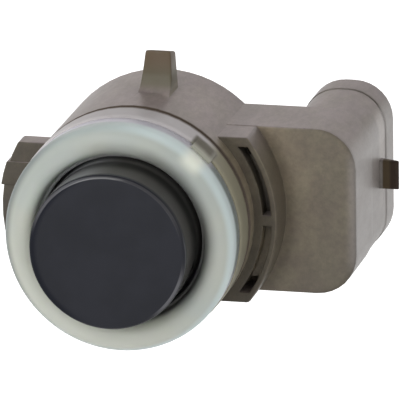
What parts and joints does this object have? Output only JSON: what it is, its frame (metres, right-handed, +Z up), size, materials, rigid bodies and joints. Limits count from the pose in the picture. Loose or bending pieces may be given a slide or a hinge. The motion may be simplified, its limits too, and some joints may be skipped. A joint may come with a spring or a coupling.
{
  "type": "parking sensor",
  "caption": "Round ultrasonic parking sensor with a black face, a milky silicone ring, a brown barrel with clip flanges and a side arm ending in an oval plug socket.",
  "frame": {"origin": "centre of the sensing face", "axes": "-Y out of the sensing face, along the sensor's axis; +X along the connector arm; +Z up, towards the latch lug"},
  "size_m": [0.0362, 0.0355, 0.0269],
  "materials": {
    "black_paint": "satin black paint",
    "milky_silicone": "milky, slightly clear silicone",
    "moulded_plastic": "fine satin moulding, brown-grey",
    "grey_silicone": "matt",
    "piezo_ceramic": "matt ceramic",
    "felt": "felt",
    "insulated_wire": "red insulation",
    "carrier_plastic": "black plastic",
    "tinned_brass": "bright tin",
    "circuit_board": "green solder mask",
    "ferrite": "matt",
    "enamelled_copper": "enamelled wire",
    "chip_resin": "moulded resin",
    "capacitor_ceramic": "ceramic",
    "resistor_ceramic": "ceramic"
  },
  "bodies": {
    "root": {"transducer_cup": "black_paint", "decoupling_ring": "milky_silicone", "front_collar": "moulded_plastic", "housing": "moulded_plastic", "rear_cover": "moulded_plastic", "piezo_disc": "piezo_ceramic", "damping_pad": "felt", "silicone_plug": "grey_silicone", "contact_wire_1": "insulated_wire", "contact_wire_2": "insulated_wire", "rear_isolator": "grey_silicone", "contact_carrier": "carrier_plastic", "contact_pin_1": "tinned_brass", "contact_pin_2": "tinned_brass", "circuit_board": "circuit_board", "transformer_core": "ferrite", "transformer_winding": "enamelled_copper", "control_chip": "chip_resin", "capacitor_1": "capacitor_ceramic", "capacitor_2": "capacitor_ceramic", "resistor_1": "resistor_ceramic", "resistor_2": "resistor_ceramic", "terminal_pin_1": "tinned_brass", "terminal_pin_2": "tinned_brass", "terminal_pin_3": "tinned_brass"}
  },
  "joints": []
}
